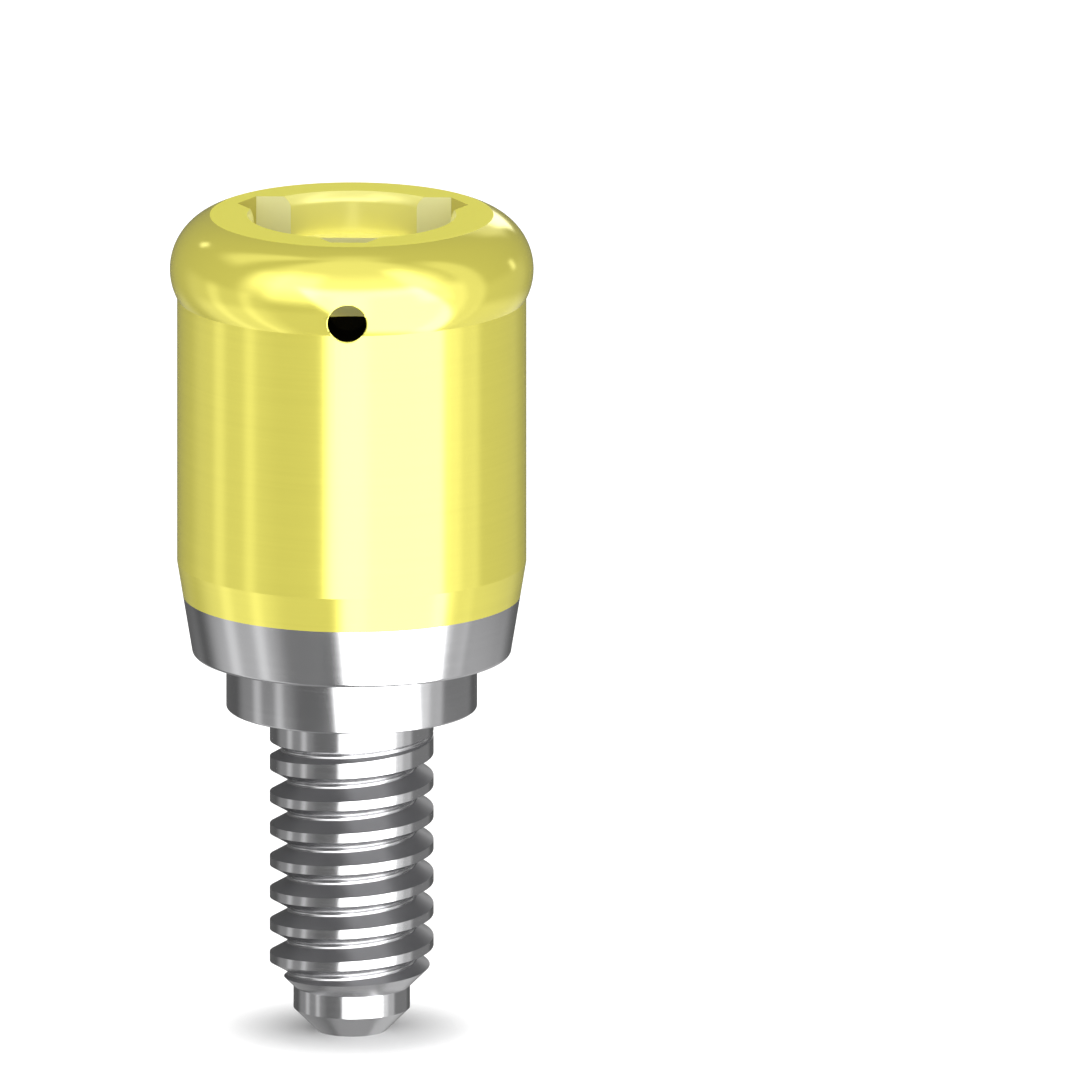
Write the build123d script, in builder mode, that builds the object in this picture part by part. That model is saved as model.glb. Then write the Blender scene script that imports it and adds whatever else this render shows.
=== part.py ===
from build123d import *
import math
import os

# Overdenture attachment abutment, turned as one piece from titanium alloy bar.
# Millimetres. The origin is the centre of the flat seating shoulder, +Z runs up through the head,
# the threaded shank hangs below, and the cross hole in the head faces -Y.

# Head: a flat top, and a bulged rim that the denture's cap snaps over
head_diameter = 3.872
flat_top_diameter = 3.01
flat_top_edge_radius = 0.06
rim_drop = 0.593
rim_underside = 0.301

# Cuff: the cylinder that passes through the gum, and the taper below it
cuff_diameter = 3.718
cuff_height = 2.876
taper_height = 1.012
shoulder_diameter = 3.384
shoulder_edge_radius = 0.045

# Round socket in the flat top
socket_mouth_diameter = 2.226
socket_diameter = 2.12
socket_depth = 0.449
socket_lead_in = 0.128

# Drive recess: a three-sided recess with its corners cut off, sunk from the flat top, and drill point below
drive_across_flats_radius = 0.821
drive_corner_radius = 1.309
drive_depth = 1.303
drill_point_angle = 118.0

# Cross hole from the front of the head into the drive recess
cross_hole_diameter = 0.412
cross_hole_drop = 0.754

# Locating boss below the shoulder
boss_diameter = 2.67
boss_height = 0.589
boss_edge_radius = 0.02

# Shank: plain neck, thread, lead-in cone and smooth tip
shank_length = 3.527
tip_diameter = 1.24
tip_length = 0.489
tip_chamfer = 0.25

# Thread: right-hand, one start, 60 degree V groove with a narrow flat root
thread_diameter = 1.744
thread_pitch = 0.35
thread_angle = 60.0
thread_crest_width = 0.099
thread_root_width = 0.035
thread_neck = 0.207
thread_end_angle = 73.0
thread_run_out_turns = 1
groove_overrun = 0.05

# Radii and heights that follow from the sizes above
head_radius = head_diameter / 2
flat_top_radius = flat_top_diameter / 2
cuff_radius = cuff_diameter / 2
shoulder_radius = shoulder_diameter / 2
boss_radius = boss_diameter / 2
thread_radius = thread_diameter / 2
tip_radius = tip_diameter / 2
socket_mouth_radius = socket_mouth_diameter / 2
socket_radius = socket_diameter / 2

taper_top_z = taper_height
cuff_top_z = taper_top_z + cuff_height
rim_z = cuff_top_z + rim_underside
head_top_z = rim_z + rim_drop
socket_floor_z = head_top_z - socket_depth
drive_floor_z = head_top_z - drive_depth
cross_hole_z = head_top_z - cross_hole_drop

boss_bottom_z = -boss_height
tip_end_z = boss_bottom_z - shank_length
cone_bottom_z = tip_end_z + tip_length
cone_top_z = cone_bottom_z + thread_radius - tip_radius

# The groove fades out below the neck, and its lower end runs off the lead-in cone into the air
flank_slope = math.tan(math.radians(thread_angle / 2))
groove_depth = (thread_pitch - thread_crest_width - thread_root_width) / 2 / flank_slope
groove_fade_z = boss_bottom_z - thread_neck
run_out_height = thread_run_out_turns * thread_pitch
run_out_taper = math.degrees(math.atan2(groove_depth + groove_overrun / 2, run_out_height))
full_depth_z = groove_fade_z - run_out_height
full_turns = math.ceil((full_depth_z - cone_bottom_z) / thread_pitch + 0.5)


def groove_turn(height, cone_angle):
    """Sweep the V groove, with its flat root, up one helix of the given height, from z = 0 at +X."""
    root_radius = thread_radius - groove_depth
    outer_radius = thread_radius + groove_overrun
    root_half_width = thread_root_width / 2
    outer_half_width = root_half_width + (outer_radius - root_radius) * flank_slope
    with BuildPart() as groove:
        with BuildLine() as path:
            Helix(thread_pitch, height, thread_radius, cone_angle=cone_angle)
        with BuildSketch(Plane.XZ):
            with BuildLine():
                Polyline(
                    (root_radius, -root_half_width),
                    (root_radius, root_half_width),
                    (outer_radius, outer_half_width),
                    (outer_radius, -outer_half_width),
                    close=True,
                )
            make_face()
        sweep(path=path.line, is_frenet=True)
    return groove.part


with BuildPart() as abutment:
    # Turned outline, from the head to the tip
    with BuildSketch(Plane.XZ) as outline:
        with BuildLine():
            Polyline((0, tip_end_z), (0, head_top_z), (flat_top_radius, head_top_z))
            TangentArc((head_radius, rim_z), (flat_top_radius, head_top_z), tangent=(0, 1))
            TangentArc((head_radius, rim_z), (cuff_radius, cuff_top_z), tangent=(0, -1))
            FilletPolyline(
                (cuff_radius, cuff_top_z),
                (cuff_radius, taper_top_z),
                (shoulder_radius, 0),
                (boss_radius, 0),
                (boss_radius, boss_bottom_z),
                (thread_radius, boss_bottom_z),
                radius=[0, shoulder_edge_radius, 0, boss_edge_radius],
            )
            Polyline(
                (thread_radius, boss_bottom_z),
                (thread_radius, cone_top_z),
                (tip_radius, cone_bottom_z),
                (tip_radius, tip_end_z + tip_chamfer),
                (tip_radius - tip_chamfer, tip_end_z),
                (0, tip_end_z),
            )
        make_face()
        top_edge = outline.vertices().group_by(Axis.Y)[-1].sort_by(Axis.X)[-1]
        fillet(top_edge, radius=flat_top_edge_radius)
    revolve(axis=Axis.Z)

    # Thread groove, one turn at a time, and its run-out, where it climbs out of the shank
    turned = (0, 0, thread_end_angle)
    turn_heights = [full_depth_z - turn * thread_pitch for turn in range(1, full_turns + 1)]
    with Locations([Location((0, 0, height), turned) for height in turn_heights]):
        add(groove_turn(thread_pitch, 0), mode=Mode.SUBTRACT)
    with Locations(Location((0, 0, full_depth_z), turned)):
        add(groove_turn(run_out_height, run_out_taper), mode=Mode.SUBTRACT)

    # Round socket with a rounded mouth
    with BuildSketch(Plane.XZ):
        with BuildLine():
            Polyline(
                (socket_mouth_radius, head_top_z),
                (0, head_top_z),
                (0, socket_floor_z),
                (socket_radius, socket_floor_z),
                (socket_radius, head_top_z - socket_lead_in),
            )
            TangentArc(
                (socket_radius, head_top_z - socket_lead_in),
                (socket_mouth_radius, head_top_z),
                tangent=(0, 1),
            )
        make_face()
    revolve(axis=Axis.Z, mode=Mode.SUBTRACT)

    # Drive recess: one triangle cut off at its corners by another, with one flat at the back
    with BuildSketch(Plane.XY.offset(head_top_z)):
        RegularPolygon(drive_across_flats_radius, 3, major_radius=False, rotation=-90)
        RegularPolygon(drive_corner_radius, 3, major_radius=False, rotation=90, mode=Mode.INTERSECT)
    extrude(amount=-drive_depth, mode=Mode.SUBTRACT)

    # Drill point in the floor of the drive recess
    drill_point_depth = drive_across_flats_radius / math.tan(math.radians(drill_point_angle / 2))
    with BuildSketch(Plane.XZ):
        with BuildLine():
            Polyline(
                (0, drive_floor_z),
                (drive_across_flats_radius, drive_floor_z),
                (0, drive_floor_z - drill_point_depth),
                close=True,
            )
        make_face()
    revolve(axis=Axis.Z, mode=Mode.SUBTRACT)

    # Cross hole
    with Locations(Plane(origin=(0, -head_radius, cross_hole_z), x_dir=(1, 0, 0), z_dir=(0, -1, 0))):
        Hole(cross_hole_diameter / 2, depth=head_radius - drive_across_flats_radius)

abutment.part.label = "abutment"

os.makedirs("parts", exist_ok=True)
export_step(abutment.part, "parts/abutment.step")
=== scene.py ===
"""The visible abutment, its finishes and the studio around it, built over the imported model.

Sizes are in millimetres, as in the part's source, and the finished mesh is brought to metres.
The frame is the part's own: the origin is the centre of the seating shoulder, +Z runs up through
the head, the threaded shank hangs below, and the cross hole in the head faces -Y.
"""

import logging
import math
from dataclasses import dataclass
from enum import Enum

import bmesh
import bpy
from mathutils import Matrix, Vector


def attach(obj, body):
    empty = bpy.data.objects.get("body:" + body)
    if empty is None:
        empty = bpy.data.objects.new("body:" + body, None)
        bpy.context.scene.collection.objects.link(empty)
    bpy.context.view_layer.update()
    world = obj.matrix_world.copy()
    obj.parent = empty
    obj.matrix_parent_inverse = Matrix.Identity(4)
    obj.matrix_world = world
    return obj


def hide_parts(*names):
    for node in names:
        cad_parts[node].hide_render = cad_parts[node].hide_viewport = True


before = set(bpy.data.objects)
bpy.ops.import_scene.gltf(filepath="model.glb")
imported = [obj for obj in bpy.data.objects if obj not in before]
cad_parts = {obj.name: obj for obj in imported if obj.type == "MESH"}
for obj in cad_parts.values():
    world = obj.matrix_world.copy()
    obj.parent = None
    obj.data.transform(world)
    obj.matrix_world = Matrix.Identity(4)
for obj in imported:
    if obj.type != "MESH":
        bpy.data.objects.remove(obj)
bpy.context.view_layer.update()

MM = 0.001
PIECE_NAME = "abutment_body"
LOG = logging.getLogger("abutment")

# Distances in millimetres within which vertices count as one, in a new shape and after the cuts
SAME_POINT = 1e-5
WELD = 2e-4

# Directions, in degrees, of the drive recess's three cut corners; its flats lie opposite them
CORNERS = (30.0, 150.0, 270.0)

# Edges that bend by more than this many degrees stay sharp, and larger faces lead the shading
SHARP_ANGLE = 22.0
FLAT_FACE_WEIGHT = 80

# Turn of a lathe finish's stretched highlight from the direction round the axis, in whole turns
STREAK_TURN = 0.25

Point = tuple[float, float]


class Zone(Enum):
    """The areas of the abutment by finish and by painted light or shade, in the order of the mesh's
    material slots.
    """

    POLISHED_COAT = 0
    TURNED_COAT = 1
    FACED_COAT = 2
    # Palest copy of the coat, on the back flat of the drive recess: painted light
    MILLED_COAT = 3
    # Paler, less metallic copy of the coat, on the socket's wall, mouth and ledges: painted light
    SOCKET_COAT = 4
    # Darker copy of the coat, on the recess's other flats, its cut corners and its floor: painted shade
    SIDE_FLAT_COAT = 5
    # Near black, in the drill point and on the cross hole's wall: painted shade
    DEEP_BORE = 6
    TURNED_METAL = 7
    THREAD_METAL = 8
    # Dark grey on the upward-facing sides of the thread's groove: painted shade
    LOADED_FLANK = 9


@dataclass(frozen=True)
class Slack:
    """Margins that tell faces and edges apart.

    Most are lengths in millimetres. Those of a normal are parts of a unit vector, as are `facing_up`
    and `level`, and `rim_bend` is in radians.
    """

    flat_top: float = 0.002
    recess_rim: float = 0.1
    crest: float = 0.004
    boss: float = 0.02
    cone: float = 0.01
    cone_normal: float = 0.05
    facing_up: float = 0.7
    drill_point: float = 0.005
    drill_normal: float = 0.3
    hole: float = 0.002
    hole_front: float = 1.0
    hole_normal: float = 0.1
    floor: float = 0.001
    level: float = 0.5
    flat: float = 0.01
    back_normal: float = 0.9
    side_normal: float = 0.99
    hole_wall: float = 0.004
    rim_depth: float = 0.1
    rim_bend: float = 0.8


SLACK = Slack()


class ProfilePen:
    """Draws half of a turned outline, in the plane y = 0, as one chain of edges."""

    def __init__(self, radius: float, height: float) -> None:
        """Put the pen down at a radius and height."""
        self.mesh = bmesh.new()
        self.tip = self.mesh.verts.new((radius, 0.0, height))

    def line(self, radius: float, height: float) -> None:
        """Draw a straight edge to a radius and height."""
        made = bmesh.ops.extrude_vert_indiv(self.mesh, verts=[self.tip])
        self.tip = made["verts"][0]
        self.tip.co = (radius, 0.0, height)

    def arc(self, centre: Point, degrees: float, steps: int) -> None:
        """Draw an arc round a centre; a positive angle turns from +X towards +Z.

        Args:
            centre: Radius and height of the arc's centre.
            degrees: Angle that the arc covers.
            steps: Number of edges along the arc.
        """
        made = bmesh.ops.spin(
            self.mesh,
            geom=[self.tip],
            cent=(centre[0], 0.0, centre[1]),
            axis=(0.0, -1.0, 0.0),
            angle=math.radians(degrees),
            steps=steps,
        )
        self.tip = next(item for item in made["geom_last"] if isinstance(item, bmesh.types.BMVert))

    def turn(self, steps: int) -> bmesh.types.BMesh:
        """Spin the outline into a closed solid about the Z axis.

        Args:
            steps: Number of facets round the axis.

        Returns:
            The turned solid, with its normals outward.
        """
        bmesh.ops.spin(
            self.mesh,
            geom=self.mesh.verts[:] + self.mesh.edges[:],
            cent=(0.0, 0.0, 0.0),
            axis=(0.0, 0.0, 1.0),
            angle=math.tau,
            steps=steps,
            use_merge=True,
        )
        bmesh.ops.remove_doubles(self.mesh, verts=self.mesh.verts, dist=SAME_POINT)
        bmesh.ops.recalc_face_normals(self.mesh, faces=self.mesh.faces)
        return self.mesh


def tangent_arc_radius(reach: float, rise: float) -> float:
    """Radius of the arc that leaves a vertical line and bends in by `reach` over a height of `rise`."""
    return (reach**2 + rise**2) / (2 * reach)


def corner_ways() -> list[Vector]:
    """Unit vectors from the axis towards the cut corners of the drive recess."""
    return [Vector((math.cos(math.radians(a)), math.sin(math.radians(a)), 0.0)) for a in CORNERS]


@dataclass
class Head:
    """The retention head: a flat top, and the bulged rim that the denture's cap clicks over."""

    diameter: float = 3.872
    flat_top_diameter: float = 3.01
    top_edge_radius: float = 0.06
    rim_drop: float = 0.593
    rim_underside: float = 0.301


@dataclass
class Cuff:
    """The cylinder that passes through the gum, the taper below it and the seating shoulder."""

    diameter: float = 3.718
    height: float = 2.876
    taper_height: float = 1.012
    shoulder_diameter: float = 3.384
    shoulder_edge_radius: float = 0.045
    coat_end: float = 0.636


@dataclass
class Recess:
    """The round socket, the three-cornered drive recess, the drill point and the cross hole."""

    mouth_diameter: float = 2.226
    socket_diameter: float = 2.12
    socket_depth: float = 0.449
    lead_in: float = 0.128
    drive_flat: float = 0.821
    drive_corner: float = 1.309
    drive_depth: float = 1.303
    drill_angle: float = 118.0
    hole_diameter: float = 0.412
    hole_drop: float = 0.754
    hole_edge: float = 0.014


@dataclass
class Shank:
    """The locating boss, the neck, the thread with its run-out, and the smooth tip."""

    boss_diameter: float = 2.67
    boss_height: float = 0.589
    boss_edge_radius: float = 0.02
    length: float = 3.527
    tip_diameter: float = 1.24
    tip_length: float = 0.489
    tip_chamfer: float = 0.25
    thread_diameter: float = 1.744
    pitch: float = 0.35
    flank_angle: float = 30.0
    crest_width: float = 0.099
    root_width: float = 0.035
    neck: float = 0.207
    end_angle: float = 73.0
    overrun: float = 0.05


@dataclass
class Abutment:
    """The whole turned piece: a blank, and the cuts that a lathe and a mill make in it.

    The cuts are clean at 120 and at 192 facets round the axis, but go wrong at 96 and at 128.
    Each cutter stands out of the blank by the overcut. The drill point is a hair narrower than the
    recess's flats, and the groove's rounded corners stop just short of each other, so that no two
    edges of the cuts fall together.
    """

    head: Head
    cuff: Cuff
    recess: Recess
    shank: Shank
    facets: int = 192
    hole_facets: int = 64
    overcut: float = 0.3
    drill_share: float = 0.995
    root_round_share: float = 0.999

    def __post_init__(self) -> None:
        """Work out the heights that follow from the sizes."""
        head, cuff, shank = self.head, self.cuff, self.shank
        self.cuff_top = cuff.taper_height + cuff.height
        self.rim = self.cuff_top + head.rim_underside
        self.top = self.rim + head.rim_drop
        self.boss_bottom = -shank.boss_height
        self.tip_end = self.boss_bottom - shank.length
        self.cone_bottom = self.tip_end + shank.tip_length
        self.cone_top = self.cone_bottom + (shank.thread_diameter - shank.tip_diameter) / 2

    def blank(self) -> bmesh.types.BMesh:
        """Turn the outline, from the middle of the flat top to the middle of the tip."""
        head, cuff, shank = self.head, self.cuff, self.shank
        rim_radius = head.diameter / 2
        top_radius = head.flat_top_diameter / 2
        cuff_radius = cuff.diameter / 2
        shoulder_radius = cuff.shoulder_diameter / 2

        # The top edge is rounded between the flat and the bulge
        bulge = tangent_arc_radius(rim_radius - top_radius, head.rim_drop)
        bulge_centre = (rim_radius - bulge, self.rim)
        edge = head.top_edge_radius
        edge_height = self.top - edge
        edge_reach = math.sqrt((bulge - edge) ** 2 - (edge_height - self.rim) ** 2)
        edge_centre = (bulge_centre[0] + edge_reach, edge_height)
        edge_angle = math.degrees(math.atan2(edge_height - self.rim, edge_reach))
        pen = ProfilePen(0.0, self.top)
        pen.line(edge_centre[0], self.top)
        pen.arc(edge_centre, edge_angle - 90.0, steps=5)
        pen.arc(bulge_centre, -edge_angle, steps=30)

        # Underside of the bulge, down to the cuff
        under = tangent_arc_radius(rim_radius - cuff_radius, head.rim_underside)
        under_angle = math.degrees(math.asin(head.rim_underside / under))
        pen.arc((rim_radius - under, self.rim), -under_angle, steps=12)
        pen.line(cuff_radius, cuff.taper_height)

        # Taper, with a ring of edges where the coating ends, and the rounded shoulder
        slope = math.atan2(cuff_radius - shoulder_radius, cuff.taper_height)
        coat_radius = cuff_radius - (cuff.taper_height - cuff.coat_end) * math.tan(slope)
        round_reach = cuff.shoulder_edge_radius * math.tan((math.pi / 2 - slope) / 2)
        pen.line(coat_radius, cuff.coat_end)
        pen.line(shoulder_radius + round_reach * math.sin(slope), round_reach * math.cos(slope))
        pen.arc(
            (shoulder_radius - round_reach, cuff.shoulder_edge_radius),
            math.degrees(slope) - 90.0,
            steps=8,
        )

        # Locating boss, shank, lead-in cone and chamfered tip
        boss_radius = shank.boss_diameter / 2
        thread_radius = shank.thread_diameter / 2
        tip_radius = shank.tip_diameter / 2
        pen.line(boss_radius, 0.0)
        pen.line(boss_radius, self.boss_bottom + shank.boss_edge_radius)
        pen.arc(
            (boss_radius - shank.boss_edge_radius, self.boss_bottom + shank.boss_edge_radius),
            -90.0,
            steps=6,
        )
        pen.line(thread_radius, self.boss_bottom)
        pen.line(thread_radius, self.cone_top)
        pen.line(tip_radius, self.cone_bottom)
        pen.line(tip_radius, self.tip_end + shank.tip_chamfer)
        pen.line(tip_radius - shank.tip_chamfer, self.tip_end)
        pen.line(0.0, self.tip_end)
        return pen.turn(self.facets)

    def groove(self) -> bmesh.types.BMesh:
        """Wind the thread's V groove up its helix; its last turn climbs out of the shank."""
        shank = self.shank
        slope = math.tan(math.radians(shank.flank_angle))
        depth = (shank.pitch - shank.crest_width - shank.root_width) / 2 / slope
        thread_radius = shank.thread_diameter / 2
        outer_radius = thread_radius + shank.overrun
        root_radius = thread_radius - depth
        root_half = shank.root_width / 2
        outer_half = root_half + (outer_radius - root_radius) * slope
        fade_height = self.boss_bottom - shank.neck
        full_height = fade_height - shank.pitch
        turns = math.ceil((full_height - self.cone_bottom) / shank.pitch + 0.5)

        # The sections stand on the blank's facet edges, so that the two meet cleanly
        facet = 360.0 / self.facets
        start_angle = round(shank.end_angle / facet) * facet
        lag = (start_angle - shank.end_angle) / 360.0
        start = full_height - (turns - lag) * shank.pitch

        # Section of the groove, with a root rounded to the same depth
        mesh = bmesh.new()
        section = [
            mesh.verts.new((outer_radius, 0.0, start + outer_half)),
            mesh.verts.new((root_radius, 0.0, start + root_half)),
            mesh.verts.new((root_radius, 0.0, start - root_half)),
            mesh.verts.new((outer_radius, 0.0, start - outer_half)),
        ]
        mesh.faces.new(section)
        bmesh.ops.rotate(
            mesh,
            verts=mesh.verts,
            cent=(0.0, 0.0, 0.0),
            matrix=Matrix.Rotation(math.radians(start_angle), 3, "Z"),
        )
        bmesh.ops.bevel(
            mesh,
            geom=section[1:3],
            affect="VERTICES",
            offset=root_half * self.root_round_share,
            segments=4,
            profile=0.5,
            material=-1,
        )
        steps = self.facets * (turns + 1)
        bmesh.ops.spin(
            mesh,
            geom=mesh.verts[:] + mesh.edges[:] + mesh.faces[:],
            cent=(0.0, 0.0, 0.0),
            axis=(0.0, 0.0, 1.0),
            dvec=(0.0, 0.0, shank.pitch / self.facets),
            angle=math.tau * (turns + 1),
            steps=steps,
        )

        # In the last turn each section moves out from the axis, a little more at each step
        rows: dict[int, list[bmesh.types.BMVert]] = {}
        per_row = len(mesh.verts) // (steps + 1)
        mesh.verts.ensure_lookup_table()
        for index, vert in enumerate(mesh.verts):
            rows.setdefault(index // per_row, []).append(vert)
        climb_from = turns * self.facets
        for row in range(climb_from, steps + 1):
            climb = (row - climb_from) / self.facets * (depth + shank.overrun / 2)
            for vert in rows[row]:
                flat = Vector((vert.co.x, vert.co.y, 0.0))
                vert.co += flat.normalized() * climb
        bmesh.ops.recalc_face_normals(mesh, faces=mesh.faces)
        return mesh

    def socket(self) -> bmesh.types.BMesh:
        """Turn the round socket's cutter, with its rounded mouth."""
        recess = self.recess
        mouth = recess.mouth_diameter / 2
        wall = recess.socket_diameter / 2
        floor = self.top - recess.socket_depth
        lead = tangent_arc_radius(mouth - wall, recess.lead_in)
        lead_angle = math.degrees(math.asin(recess.lead_in / lead))
        pen = ProfilePen(0.0, floor)
        pen.line(wall, floor)
        pen.line(wall, self.top - recess.lead_in)
        pen.arc((wall + lead, self.top - recess.lead_in), -lead_angle, steps=8)
        pen.line(mouth, self.top + self.overcut)
        pen.line(0.0, self.top + self.overcut)
        return pen.turn(self.facets)

    def drive(self) -> bmesh.types.BMesh:
        """Mill the drive recess: a triangle with its corners cut off, one flat at the back."""
        recess = self.recess
        mesh = bmesh.new()
        bmesh.ops.create_circle(mesh, cap_ends=True, segments=3, radius=recess.drive_flat * 2)
        bmesh.ops.rotate(
            mesh,
            verts=mesh.verts,
            cent=(0.0, 0.0, 0.0),
            matrix=Matrix.Rotation(math.radians(180.0), 3, "Z"),
        )
        for way in corner_ways():
            bmesh.ops.bisect_plane(
                mesh,
                geom=mesh.verts[:] + mesh.edges[:] + mesh.faces[:],
                dist=SAME_POINT,
                plane_co=way * recess.drive_corner,
                plane_no=way,
                clear_outer=True,
            )
        bmesh.ops.translate(mesh, verts=mesh.verts, vec=(0.0, 0.0, self.top - recess.drive_depth))
        made = bmesh.ops.extrude_face_region(mesh, geom=mesh.faces[:])
        raised = [item for item in made["geom"] if isinstance(item, bmesh.types.BMVert)]
        rise = (0.0, 0.0, recess.drive_depth + self.overcut)
        bmesh.ops.translate(mesh, verts=raised, vec=rise)
        bmesh.ops.recalc_face_normals(mesh, faces=mesh.faces)
        return mesh

    def drill_point(self) -> bmesh.types.BMesh:
        """Turn the cone that the drill leaves in the floor of the drive recess."""
        recess = self.recess
        floor = self.top - recess.drive_depth
        reach = recess.drive_flat * self.drill_share
        pen = ProfilePen(0.0, floor - reach / math.tan(math.radians(recess.drill_angle / 2)))
        pen.line(reach, floor)
        pen.line(reach / 2, floor + self.overcut)
        pen.line(0.0, floor + self.overcut)
        return pen.turn(self.facets)

    def cross_hole(self) -> bmesh.types.BMesh:
        """Drill the small hole from the front of the head into the drive recess."""
        recess = self.recess
        front = self.head.diameter / 2 + self.overcut
        mesh = bmesh.new()
        bmesh.ops.create_cone(
            mesh,
            cap_ends=True,
            segments=self.hole_facets,
            radius1=recess.hole_diameter / 2,
            radius2=recess.hole_diameter / 2,
            depth=front - recess.drive_flat / 2,
        )
        bmesh.ops.rotate(
            mesh,
            verts=mesh.verts,
            cent=(0.0, 0.0, 0.0),
            matrix=Matrix.Rotation(math.radians(90.0), 3, "X"),
        )
        middle = -(front + recess.drive_flat / 2) / 2
        bmesh.ops.translate(mesh, verts=mesh.verts, vec=(0.0, middle, self.top - recess.hole_drop))
        return mesh

    def off_hole(self, place: Vector) -> float:
        """Distance of a place from the axis of the cross hole."""
        return math.hypot(place.x, place.z - (self.top - self.recess.hole_drop))

    def break_hole_edge(self, mesh: bmesh.types.BMesh) -> None:
        """Take the sharp edge off the front rim of the cross hole."""
        recess = self.recess
        rim = []
        for edge in mesh.edges:
            middle = (edge.verts[0].co + edge.verts[1].co) / 2
            on_wall = abs(self.off_hole(middle) - recess.hole_diameter / 2) < SLACK.hole_wall
            front = middle.y < -(self.head.diameter / 2 - SLACK.rim_depth)
            whole = len(edge.link_faces) == 2
            if on_wall and front and whole and edge.calc_face_angle() > SLACK.rim_bend:
                rim.append(edge)
        bmesh.ops.bevel(
            mesh,
            geom=rim,
            affect="EDGES",
            offset=recess.hole_edge,
            segments=2,
            profile=0.5,
            material=-1,
        )

    def zone(self, centre: Vector, normal: Vector) -> Zone:
        """Tell which finish a face has.

        Args:
            centre: Middle of the face, in millimetres.
            normal: The face's outward normal.

        Returns:
            The zone that the face belongs to.
        """
        if centre.z < self.cuff.coat_end:
            return self.metal_zone(centre, normal)
        if centre.z > self.top - SLACK.flat_top:
            return Zone.FACED_COAT
        # Near black in the drill point and on the cross hole's wall paints the shade deep inside
        if self.in_painted_shade_bore(centre, normal):
            return Zone.DEEP_BORE
        if math.hypot(centre.x, centre.y) < self.head.flat_top_diameter / 2 - SLACK.recess_rim:
            return self.recess_zone(centre, normal)
        return Zone.POLISHED_COAT if centre.z > self.cuff_top else Zone.TURNED_COAT

    def metal_zone(self, centre: Vector, normal: Vector) -> Zone:
        """Tell which finish a face of the bare metal has.

        Args:
            centre: Middle of the face, in millimetres.
            normal: The face's outward normal.

        Returns:
            The zone of the turned metal, or of a side of the thread's groove; the upward-facing sides
            take a dark grey of painted shade.
        """
        radius = math.hypot(centre.x, centre.y)
        inside_crest = radius < self.shank.thread_diameter / 2 - SLACK.crest
        below_boss = centre.z < self.boss_bottom - SLACK.boss
        above_tip = centre.z > self.cone_bottom + SLACK.cone
        cone_normal = abs(normal.z + math.sqrt(0.5)) < SLACK.cone_normal
        on_cone = centre.z < self.cone_top and cone_normal
        if not (inside_crest and below_boss and above_tip) or on_cone:
            return Zone.TURNED_METAL
        # Upward-facing sides of the groove take a dark grey, painted shade
        return Zone.LOADED_FLANK if normal.z > SLACK.facing_up else Zone.THREAD_METAL

    def in_painted_shade_bore(self, centre: Vector, normal: Vector) -> bool:
        """Tell whether a face is in the drill point or on the wall of the cross hole, which take a
        near-black painted shade.

        Args:
            centre: Middle of the face, in millimetres.
            normal: The face's outward normal.

        Returns:
            True where the face takes the near-black painted shade.
        """
        recess = self.recess
        below_floor = centre.z < self.top - recess.drive_depth - SLACK.drill_point
        within_drill = math.hypot(centre.x, centre.y) < recess.drive_flat
        in_drill_point = below_floor and within_drill and normal.z > SLACK.drill_normal
        near_axis = self.off_hole(centre) < recess.hole_diameter / 2 + SLACK.hole
        in_front = centre.y < -SLACK.hole_front
        on_hole_wall = near_axis and in_front and abs(normal.y) < SLACK.hole_normal
        return in_drill_point or on_hole_wall

    def recess_zone(self, centre: Vector, normal: Vector) -> Zone:
        """Tell which finish a face of the socket or the drive recess has; paler and darker copies of
        the coat paint its light and shade.

        Args:
            centre: Middle of the face, in millimetres.
            normal: The face's outward normal.

        Returns:
            The zone that the face belongs to.
        """
        recess = self.recess
        # The floor of the drive recess takes the darker copy of the coat, painted shade
        if centre.z < self.top - recess.drive_depth + SLACK.floor:
            return Zone.SIDE_FLAT_COAT
        # Level faces in the recess take the paler socket copy of the coat, painted light
        if abs(normal.z) > SLACK.level:
            return Zone.SOCKET_COAT
        # The back flat, facing the front, takes the palest copy of the coat, painted light
        on_back = abs(centre.y - recess.drive_flat) < SLACK.flat
        if on_back and normal.y < -SLACK.back_normal:
            return Zone.MILLED_COAT
        # The other flats and the cut corners take the darker copy of the coat, painted shade
        for way in corner_ways():
            on_corner = abs(centre.dot(way) - recess.drive_corner) < SLACK.flat
            on_flat = abs(centre.dot(way) + recess.drive_flat) < SLACK.flat
            if (on_corner or on_flat) and abs(normal.dot(way)) > SLACK.side_normal:
                return Zone.SIDE_FLAT_COAT
        # The socket's wall and mouth take the paler socket copy of the coat, painted light
        return Zone.SOCKET_COAT

    def build(self) -> bpy.types.Object:
        """Cut the blank, sort its faces into zones and bring it to metres."""
        piece = mesh_object(PIECE_NAME, self.blank())
        cutters = {
            "socket": self.socket(),
            "drive": self.drive(),
            "drill_point": self.drill_point(),
            "cross_hole": self.cross_hole(),
            "groove": self.groove(),
        }
        for name, cutter in cutters.items():
            cut(piece, mesh_object(name, cutter))
            LOG.info("cut the %s: %d faces", name, len(piece.data.polygons))
        mesh = bmesh.new()
        mesh.from_mesh(piece.data)
        bmesh.ops.remove_doubles(mesh, verts=mesh.verts, dist=WELD)
        self.break_hole_edge(mesh)
        for face in mesh.faces:
            face.smooth = True
            face.material_index = self.zone(face.calc_center_median(), face.normal).value
        bmesh.ops.scale(mesh, verts=mesh.verts, vec=(MM, MM, MM))
        mesh.to_mesh(piece.data)
        mesh.free()
        piece.data.set_sharp_from_angle(angle=math.radians(SHARP_ANGLE))
        self.crease_taper(piece.data)
        shading = piece.modifiers.new("flat_faces_shade_flat", "WEIGHTED_NORMAL")
        shading.keep_sharp = True
        shading.weight = FLAT_FACE_WEIGHT
        return piece

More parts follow.
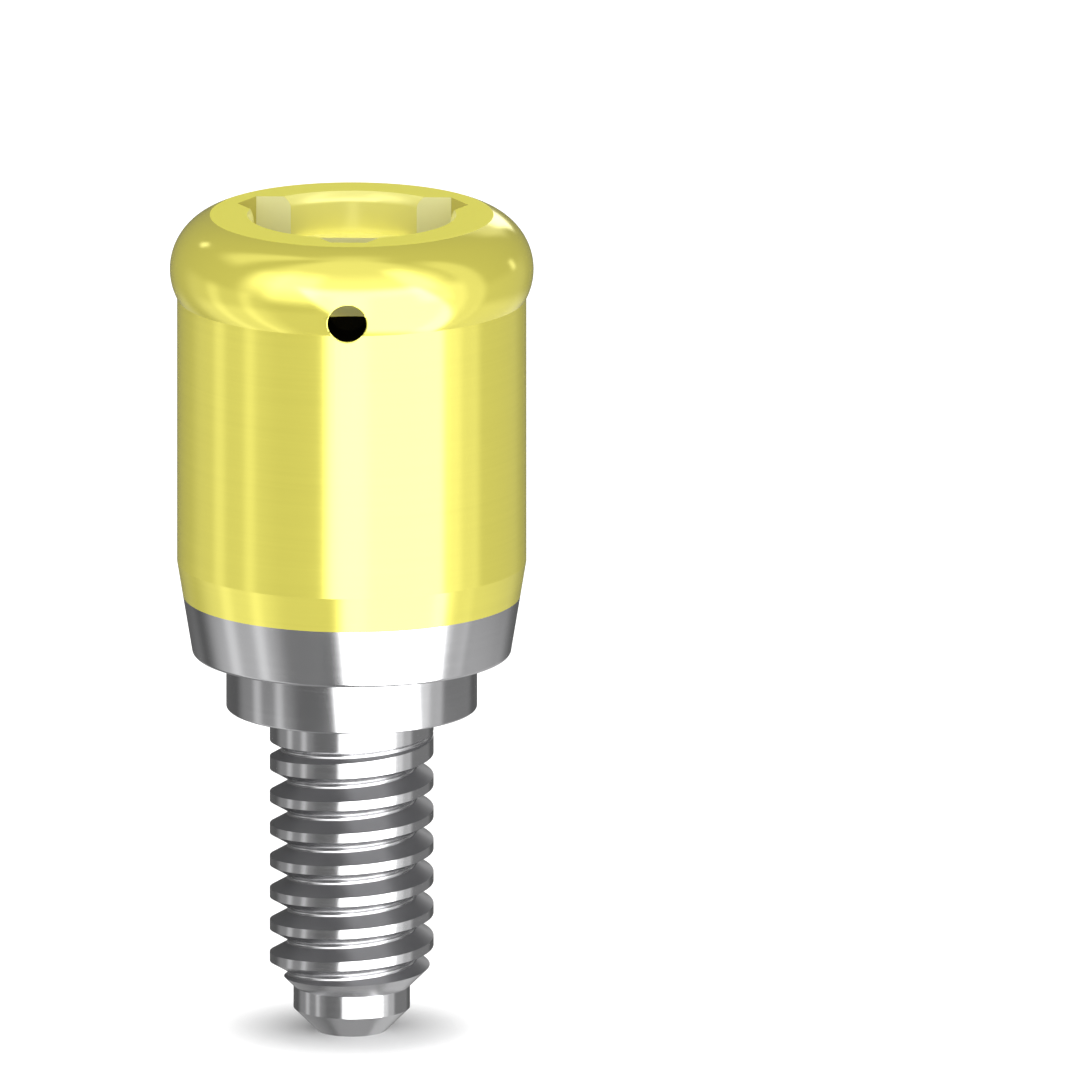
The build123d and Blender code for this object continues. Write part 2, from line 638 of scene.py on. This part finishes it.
    def dress(self, piece: bpy.types.Object) -> None:
        """Give the piece its finishes, one material slot for each zone."""
        marks = turning_marks()
        for zone in Zone:
            piece.data.materials.append(FINISHES[zone].material(marks))

    def crease_taper(self, mesh: bpy.types.Mesh) -> None:
        """Keep the slight crease between the cuff and its taper crisp."""
        height = self.cuff.taper_height * MM
        same_height = 1e-7
        for edge in mesh.edges:
            ends = [mesh.vertices[index].co.z for index in edge.vertices]
            if all(abs(end - height) < same_height for end in ends):
                edge.use_edge_sharp = True


def mesh_object(name: str, mesh: bmesh.types.BMesh) -> bpy.types.Object:
    """Put a finished bmesh into a new object at the origin."""
    data = bpy.data.meshes.new(name)
    mesh.to_mesh(data)
    mesh.free()
    made = bpy.data.objects.new(name, data)
    bpy.context.scene.collection.objects.link(made)
    return made


def cut(piece: bpy.types.Object, cutter: bpy.types.Object) -> None:
    """Take a cutter's volume out of a piece, apply the result and remove the cutter."""
    difference = piece.modifiers.new("cut", "BOOLEAN")
    difference.operation = "DIFFERENCE"
    difference.solver = "EXACT"
    difference.object = cutter
    graph = bpy.context.evaluated_depsgraph_get()
    result = bpy.data.meshes.new_from_object(piece.evaluated_get(graph))
    piece.modifiers.clear()
    spent = piece.data
    piece.data = result
    bpy.data.meshes.remove(spent)
    bpy.data.objects.remove(cutter)


@dataclass(frozen=True)
class Finish:
    """One finish of the metal, with or without its coating.

    The marks are the fine rings that the turning tool leaves. Their pitch is in millimetres, and their
    shade and roughness say how much the colour and the roughness vary over them.
    """

    name: str
    colour: tuple[float, float, float]
    metallic: float
    roughness: float
    specular: float = 0.5
    anisotropy: float = 0.0
    mark_pitch: float = 0.04
    mark_shade: float = 0.0
    mark_roughness: float = 0.0

    def material(self, marks: bpy.types.NodeTree) -> bpy.types.Material:
        """Make the finish's material.

        Args:
            marks: The shared node group of turning marks.

        Returns:
            The material, with the marks in its colour and roughness.
        """
        material = bpy.data.materials.new(self.name)
        material.use_nodes = True
        tree = material.node_tree
        shader = tree.nodes["Principled BSDF"]
        shader.inputs["Metallic"].default_value = self.metallic
        shader.inputs["Specular IOR Level"].default_value = self.specular
        if self.anisotropy:
            shader.inputs["Anisotropic"].default_value = self.anisotropy
            shader.inputs["Anisotropic Rotation"].default_value = STREAK_TURN
            tangent = tree.nodes.new("ShaderNodeTangent")
            tangent.direction_type = "RADIAL"
            tangent.axis = "Z"
            tree.links.new(tangent.outputs["Tangent"], shader.inputs["Tangent"])
        group = tree.nodes.new("ShaderNodeGroup")
        group.node_tree = marks
        group.inputs["Colour"].default_value = (*self.colour, 1.0)
        group.inputs["Roughness"].default_value = self.roughness
        group.inputs["Pitch"].default_value = self.mark_pitch
        group.inputs["Shade"].default_value = self.mark_shade
        group.inputs["Roughness spread"].default_value = self.mark_roughness
        tree.links.new(group.outputs["Colour"], shader.inputs["Base Color"])
        tree.links.new(group.outputs["Roughness"], shader.inputs["Roughness"])
        return material


COAT = (0.94, 0.865, 0.145)
BARE = (0.62, 0.62, 0.63)

FINISHES = {
    Zone.POLISHED_COAT: Finish("polished_coat", COAT, metallic=0.44, roughness=0.12, specular=1.0),
    Zone.TURNED_COAT: Finish(
        "turned_coat", COAT, metallic=0.44, roughness=0.16, specular=1.0,
        anisotropy=0.6, mark_shade=0.08, mark_roughness=0.04,
    ),
    Zone.FACED_COAT: Finish(
        "faced_coat", (0.83, 0.78, 0.105), metallic=0.0, roughness=0.40, specular=0.2, mark_shade=0.03
    ),
    # Palest copy of the coat, on the back flat of the drive recess: painted light
    Zone.MILLED_COAT: Finish("milled_coat_painted_light", (1.0, 0.98, 0.50), metallic=0.0, roughness=0.35),
    # Paler, less metallic copy of the coat, on the socket's wall, mouth and ledges: painted light
    Zone.SOCKET_COAT: Finish("socket_coat_painted_light", (1.0, 0.95, 0.28), metallic=0.10, roughness=0.25),
    # Darker copy of the coat, on the recess's other flats, its cut corners and its floor: painted shade
    Zone.SIDE_FLAT_COAT: Finish(
        "side_flat_coat_painted_shade", (0.66, 0.60, 0.13), metallic=0.20, roughness=0.30, specular=0.3
    ),
    # Near black, in the drill point and on the cross hole's wall: painted shade
    Zone.DEEP_BORE: Finish(
        "deep_bore_painted_shade", (0.004, 0.0035, 0.002), metallic=0.0, roughness=0.6, specular=0.0
    ),
    Zone.TURNED_METAL: Finish(
        "turned_metal", BARE, metallic=1.0, roughness=0.16,
        anisotropy=0.6, mark_shade=0.08, mark_roughness=0.05,
    ),
    Zone.THREAD_METAL: Finish("thread_metal", (0.66, 0.66, 0.67), metallic=1.0, roughness=0.22),
    # Dark grey on the upward-facing sides of the thread's groove: painted shade
    Zone.LOADED_FLANK: Finish("upper_flank_painted_shade", (0.12, 0.12, 0.125), metallic=0.40, roughness=0.35),
}


class ShaderTree:
    """Short ways to add nodes to a shader tree and join them."""

    def __init__(self, tree: bpy.types.NodeTree) -> None:
        """Keep the tree that the nodes go into."""
        self.tree = tree

    def feed(self, socket: bpy.types.NodeSocket, value: object) -> None:
        """Join a socket to another node's output, or set it to a plain value."""
        if isinstance(value, bpy.types.NodeSocket):
            self.tree.links.new(value, socket)
        elif value is not None:
            socket.default_value = value

    def math(self, operation: str, *values: object) -> bpy.types.NodeSocket:
        """Add a Math node fed with the values, and return its output."""
        node = self.tree.nodes.new("ShaderNodeMath")
        node.operation = operation
        for socket, value in zip(node.inputs, values):
            self.feed(socket, value)
        return node.outputs[0]

    def combine(self, x: object, y: object, z: object) -> bpy.types.NodeSocket:
        """Join three values into a vector."""
        node = self.tree.nodes.new("ShaderNodeCombineXYZ")
        for socket, value in zip(node.inputs, (x, y, z)):
            self.feed(socket, value)
        return node.outputs[0]

    def separate(self, vector: bpy.types.NodeSocket) -> list[bpy.types.NodeSocket]:
        """Split a vector into its three values."""
        node = self.tree.nodes.new("ShaderNodeSeparateXYZ")
        self.feed(node.inputs[0], vector)
        return list(node.outputs)

    def smooth_step(self, value: object, low: float, high: float) -> bpy.types.NodeSocket:
        """Rise smoothly from 0 at `low` to 1 at `high`; the other way round where low is larger."""
        node = self.tree.nodes.new("ShaderNodeMapRange")
        node.interpolation_type = "SMOOTHSTEP"
        start, end = (low, high) if low < high else (high, low)
        self.feed(node.inputs["Value"], value)
        node.inputs["From Min"].default_value = start
        node.inputs["From Max"].default_value = end
        node.inputs["To Min"].default_value = 0.0 if low < high else 1.0
        node.inputs["To Max"].default_value = 1.0 if low < high else 0.0
        return node.outputs["Result"]


def turning_marks() -> bpy.types.NodeTree:
    """Make the node group of the fine rings that a turning tool leaves round the axis.

    Returns:
        The group, which varies a colour and a roughness over the rings.
    """
    radial_share = 0.83
    wander = 1.4
    least_radius = 1e-6
    group = bpy.data.node_groups.new("turning_marks", "ShaderNodeTree")
    face = group.interface
    face.new_socket("Colour", in_out="INPUT", socket_type="NodeSocketColor")
    for name in ("Roughness", "Pitch", "Shade", "Roughness spread"):
        face.new_socket(name, in_out="INPUT", socket_type="NodeSocketFloat")
    face.new_socket("Colour", in_out="OUTPUT", socket_type="NodeSocketColor")
    face.new_socket("Roughness", in_out="OUTPUT", socket_type="NodeSocketFloat")
    made = ShaderTree(group)
    start = group.nodes.new("NodeGroupInput")
    end = group.nodes.new("NodeGroupOutput")

    # Rings follow the height and a share of the radius, and wander a little round the axis
    place = group.nodes.new("ShaderNodeTexCoord").outputs["Object"]
    x, y, z = made.separate(place)
    squares = made.math("ADD", made.math("MULTIPLY", x, x), made.math("MULTIPLY", y, y))
    radius = made.math("SQRT", squares)
    along = made.math("ADD", z, made.math("MULTIPLY", radius, radial_share))
    ring = made.math("DIVIDE", made.math("DIVIDE", along, MM), start.outputs["Pitch"])
    reach = made.math("MULTIPLY", made.math("MAXIMUM", radius, least_radius), wander)
    noise = group.nodes.new("ShaderNodeTexNoise")
    noise.inputs["Scale"].default_value = 1.0
    noise.inputs["Detail"].default_value = 2.0
    noise.inputs["Roughness"].default_value = 0.6
    made.feed(
        noise.inputs["Vector"],
        made.combine(made.math("DIVIDE", x, reach), made.math("DIVIDE", y, reach), ring),
    )
    mark = made.math("SUBTRACT", noise.outputs["Fac"], 0.5)
    spread = made.math("MULTIPLY", mark, start.outputs["Roughness spread"])
    made.feed(end.inputs["Roughness"], made.math("ADD", start.outputs["Roughness"], spread))
    tone = made.math("MULTIPLY_ADD", mark, start.outputs["Shade"], 1.0)
    shade = group.nodes.new("ShaderNodeVectorMath")
    shade.operation = "SCALE"
    made.feed(shade.inputs[0], start.outputs["Colour"])
    made.feed(shade.inputs["Scale"], tone)
    made.feed(end.inputs["Colour"], shade.outputs[0])
    return group


@dataclass(frozen=True)
class SoftBox:
    """A soft panel of light. Angles are in degrees: azimuth 0 is in front and grows to the right.

    A leaning panel stands at its azimuth at the height that upright walls mirror to the camera, and
    moves to the side by its lean for each degree that it rises.
    """

    azimuth: float
    half_width: float
    lowest: float
    highest: float
    strength: float
    side_edge: float = 6.0
    level_edge: float = 12.0
    lean: float = 0.0
    upright_level: float = -13.0

    def shine(self, made: ShaderTree, azimuth: object, level: object, light: object) -> object:
        """Add the panel to the light of the world.

        Args:
            made: The world's shader tree.
            azimuth: Azimuth of the ray, in degrees.
            level: Height of the ray over the horizon, in degrees.
            light: Strength of the light so far.

        Returns:
            Strength of the light with the panel added.
        """
        middle = self.azimuth - self.lean * self.upright_level
        turned = made.math("SUBTRACT", made.math("MULTIPLY_ADD", level, -self.lean, azimuth), middle)
        off = made.math("ABSOLUTE", made.math("WRAP", turned, 180.0, -180.0))
        side = self.side_edge / 2
        rise = self.level_edge / 2
        within = made.smooth_step(off, self.half_width + side, self.half_width - side)
        above = made.smooth_step(level, self.lowest - rise, self.lowest + rise)
        below = made.smooth_step(level, self.highest + rise, self.highest - rise)
        mask = made.math("MULTIPLY", within, made.math("MULTIPLY", above, below))
        return made.math("MULTIPLY_ADD", mask, self.strength, light)


# Azimuth, half width, lowest and highest level, strength, then the widths of the soft edges
SOFT_BOXES = (
    # The key light in front, on the right, with its hot spot
    SoftBox(24.5, 40.0, -62.0, 24.0, 3.7, 7.0, 16.0, lean=-0.5),
    SoftBox(1.0, 11.0, -36.0, 12.0, 0.7, 10.0, 12.0),
    # The light over the front of the object, with a brighter patch on each side
    SoftBox(0.0, 68.0, 16.0, 48.0, 1.15, 24.0, 24.0),
    SoftBox(0.0, 68.0, 48.0, 82.0, 0.60, 24.0, 20.0),
    SoftBox(0.0, 200.0, 80.0, 100.0, 0.45, 0.1, 16.0),
    SoftBox(-38.0, 16.0, -2.0, 50.0, 1.35, 14.0, 22.0),
    SoftBox(58.0, 10.0, -4.0, 60.0, 1.5, 12.0, 16.0, lean=-0.2),
    # Panels low on the left
    SoftBox(-90.0, 35.0, -62.0, 2.0, 0.20, 18.0, 12.0),
    SoftBox(-86.0, 32.0, -62.0, -22.0, 0.32, 20.0, 12.0),
    SoftBox(-35.0, 18.0, -62.0, -22.0, 0.14, 16.0, 12.0),
    SoftBox(-97.0, 5.0, -62.0, 2.0, 0.38, 8.0, 12.0),
    SoftBox(-70.0, 4.0, -62.0, 2.0, 0.44, 8.0, 12.0),
    # Wider lights high on the left
    SoftBox(-62.0, 12.0, 2.0, 44.0, 0.6, 16.0, 16.0),
    SoftBox(-106.0, 12.0, 36.0, 76.0, 0.55, 16.0, 16.0),
    # Edge of the key light, and dimmer panels, on the right
    SoftBox(70.0, 8.0, -62.0, 20.0, 0.85, 8.0, 20.0),
    SoftBox(86.0, 9.0, -62.0, 60.0, 0.50, 8.0, 20.0),
    SoftBox(130.0, 35.0, -62.0, -22.0, 0.32, 16.0, 12.0),
    SoftBox(118.0, 26.0, -62.0, 4.0, 0.13, 16.0, 12.0),
    # Small lamps and a low panel behind the object
    SoftBox(-138.0, 3.0, 23.0, 29.0, 1.4, 4.0, 4.0),
    SoftBox(129.0, 2.5, 3.0, 12.0, 1.1, 4.0, 6.0),
    SoftBox(170.0, 7.0, 7.0, 20.0, 2.2, 6.0, 6.0),
    SoftBox(163.0, 9.0, 18.0, 32.0, 0.5, 10.0, 10.0),
    SoftBox(180.0, 38.0, -60.0, -20.0, 0.20, 16.0, 10.0),
    # Light thrown back from below
    SoftBox(0.0, 200.0, -95.0, -64.0, 0.30, 0.1, 12.0),
)

# What mirror-like surfaces see between the panels
DIM_LEVEL = 0.13


@dataclass
class Studio:
    """The camera, the floor and the light. Lengths are in millimetres, and angles in degrees."""

    azimuth: float = 1.5
    elevation: float = 13.2
    view_height: float = 1.225
    view_right: float = 2.003
    view_width: float = 11.49
    distance: float = 60.0
    floor_size: float = 4000.0
    fill: float = 0.94
    fill_from_front: float = 0.36
    floor_shade: float = 0.60
    floor_glow: float = 0.75
    contact_reach: float = 1.0
    contact_falloff: float = 3.0

    def place_camera(self) -> None:
        """Set an orthographic camera at the photograph's viewing angle."""
        turn = math.radians(self.azimuth)
        rise = math.radians(self.elevation)
        back = Vector((
            math.sin(turn) * math.cos(rise),
            -math.cos(turn) * math.cos(rise),
            math.sin(rise),
        ))
        right = Vector((math.cos(turn), math.sin(turn), 0.0))
        data = bpy.data.cameras.new("camera")
        data.type = "ORTHO"
        data.ortho_scale = self.view_width * MM
        data.clip_start = 0.001
        data.clip_end = 1.0
        camera = bpy.data.objects.new("camera", data)
        bpy.context.scene.collection.objects.link(camera)
        target = Vector((0.0, 0.0, self.view_height)) + right * self.view_right
        camera.location = (target + back * self.distance) * MM
        camera.rotation_mode = "QUATERNION"
        camera.rotation_quaternion = (-back).to_track_quat("-Z", "Y")
        bpy.context.scene.camera = camera

    def lay_floor(self, height: float) -> None:
        """Lay the pale floor under the tip, hidden from matt and glossy rays.

        Args:
            height: Height of the floor, in millimetres.
        """
        mesh = bmesh.new()
        bmesh.ops.create_grid(mesh, x_segments=1, y_segments=1, size=self.floor_size / 2)
        bmesh.ops.translate(mesh, verts=mesh.verts, vec=(0.0, 0.0, height))
        bmesh.ops.scale(mesh, verts=mesh.verts, vec=(MM, MM, MM))
        floor = mesh_object("floor", mesh)
        floor.visible_glossy = False
        floor.visible_diffuse = False
        material = bpy.data.materials.new("pale_floor")
        material.use_nodes = True
        tree = material.node_tree
        shader = tree.nodes["Principled BSDF"]
        shader.inputs["Base Color"].default_value = (*(self.floor_shade,) * 3, 1.0)
        shader.inputs["Roughness"].default_value = 1.0
        shader.inputs["Specular IOR Level"].default_value = 0.0
        shader.inputs["Emission Color"].default_value = (1.0, 1.0, 1.0, 1.0)
        made = ShaderTree(tree)
        # For the camera the floor glows, less where the object is near, which paints the object's
        # contact shadow
        contact = tree.nodes.new("ShaderNodeAmbientOcclusion")
        contact.inputs["Distance"].default_value = self.contact_reach * MM
        seen = tree.nodes.new("ShaderNodeLightPath").outputs["Is Camera Ray"]
        open_sky = made.math("POWER", contact.outputs["AO"], self.contact_falloff)
        glow = made.math("MULTIPLY", open_sky, self.floor_glow)
        made.feed(shader.inputs["Emission Strength"], made.math("MULTIPLY", seen, glow))
        floor.data.materials.append(material)

    def light(self) -> None:
        """Light the scene: white behind, an even fill for matt surfaces, and soft boxes for gloss."""
        world = bpy.data.worlds.new("studio")
        world.use_nodes = True
        world.cycles.sampling_method = "NONE"
        tree = world.node_tree
        tree.nodes.clear()
        made = ShaderTree(tree)
        way = tree.nodes.new("ShaderNodeTexCoord").outputs["Generated"]
        x, y, z = made.separate(way)
        azimuth = made.math("DEGREES", made.math("ARCTAN2", x, made.math("MULTIPLY", y, -1.0)))
        level = made.math("DEGREES", made.math("ARCSINE", z))
        mirrored: object = DIM_LEVEL
        for box in SOFT_BOXES:
            mirrored = box.shine(made, azimuth, level, mirrored)
        rays = tree.nodes.new("ShaderNodeLightPath")
        glossy = rays.outputs["Is Glossy Ray"]
        seen = rays.outputs["Is Camera Ray"]
        matt = made.math("SUBTRACT", made.math("SUBTRACT", 1.0, glossy), seen)
        strength = made.math("MULTIPLY_ADD", glossy, mirrored, seen)
        even = made.math("MULTIPLY_ADD", y, -self.fill_from_front, self.fill)
        strength = made.math("MULTIPLY_ADD", matt, even, strength)
        background = tree.nodes.new("ShaderNodeBackground")
        background.inputs["Color"].default_value = (1.0, 1.0, 1.0, 1.0)
        made.feed(background.inputs["Strength"], strength)
        output = tree.nodes.new("ShaderNodeOutputWorld")
        tree.links.new(background.outputs[0], output.inputs["Surface"])
        bpy.context.scene.world = world


def main() -> None:
    """Build the abutment, dress it and set the studio."""
    logging.basicConfig(level=logging.INFO, format="%(message)s")
    abutment = Abutment(Head(), Cuff(), Recess(), Shank())
    piece = abutment.build()
    abutment.dress(piece)
    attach(piece, "root")
    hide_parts("abutment")
    LOG.info("abutment: %d triangles", sum(len(p.vertices) - 2 for p in piece.data.polygons))
    studio = Studio()
    studio.place_camera()
    studio.lay_floor(abutment.tip_end)
    studio.light()
    bpy.context.scene.view_settings.view_transform = "Standard"


if __name__ == "__main__":
    main()
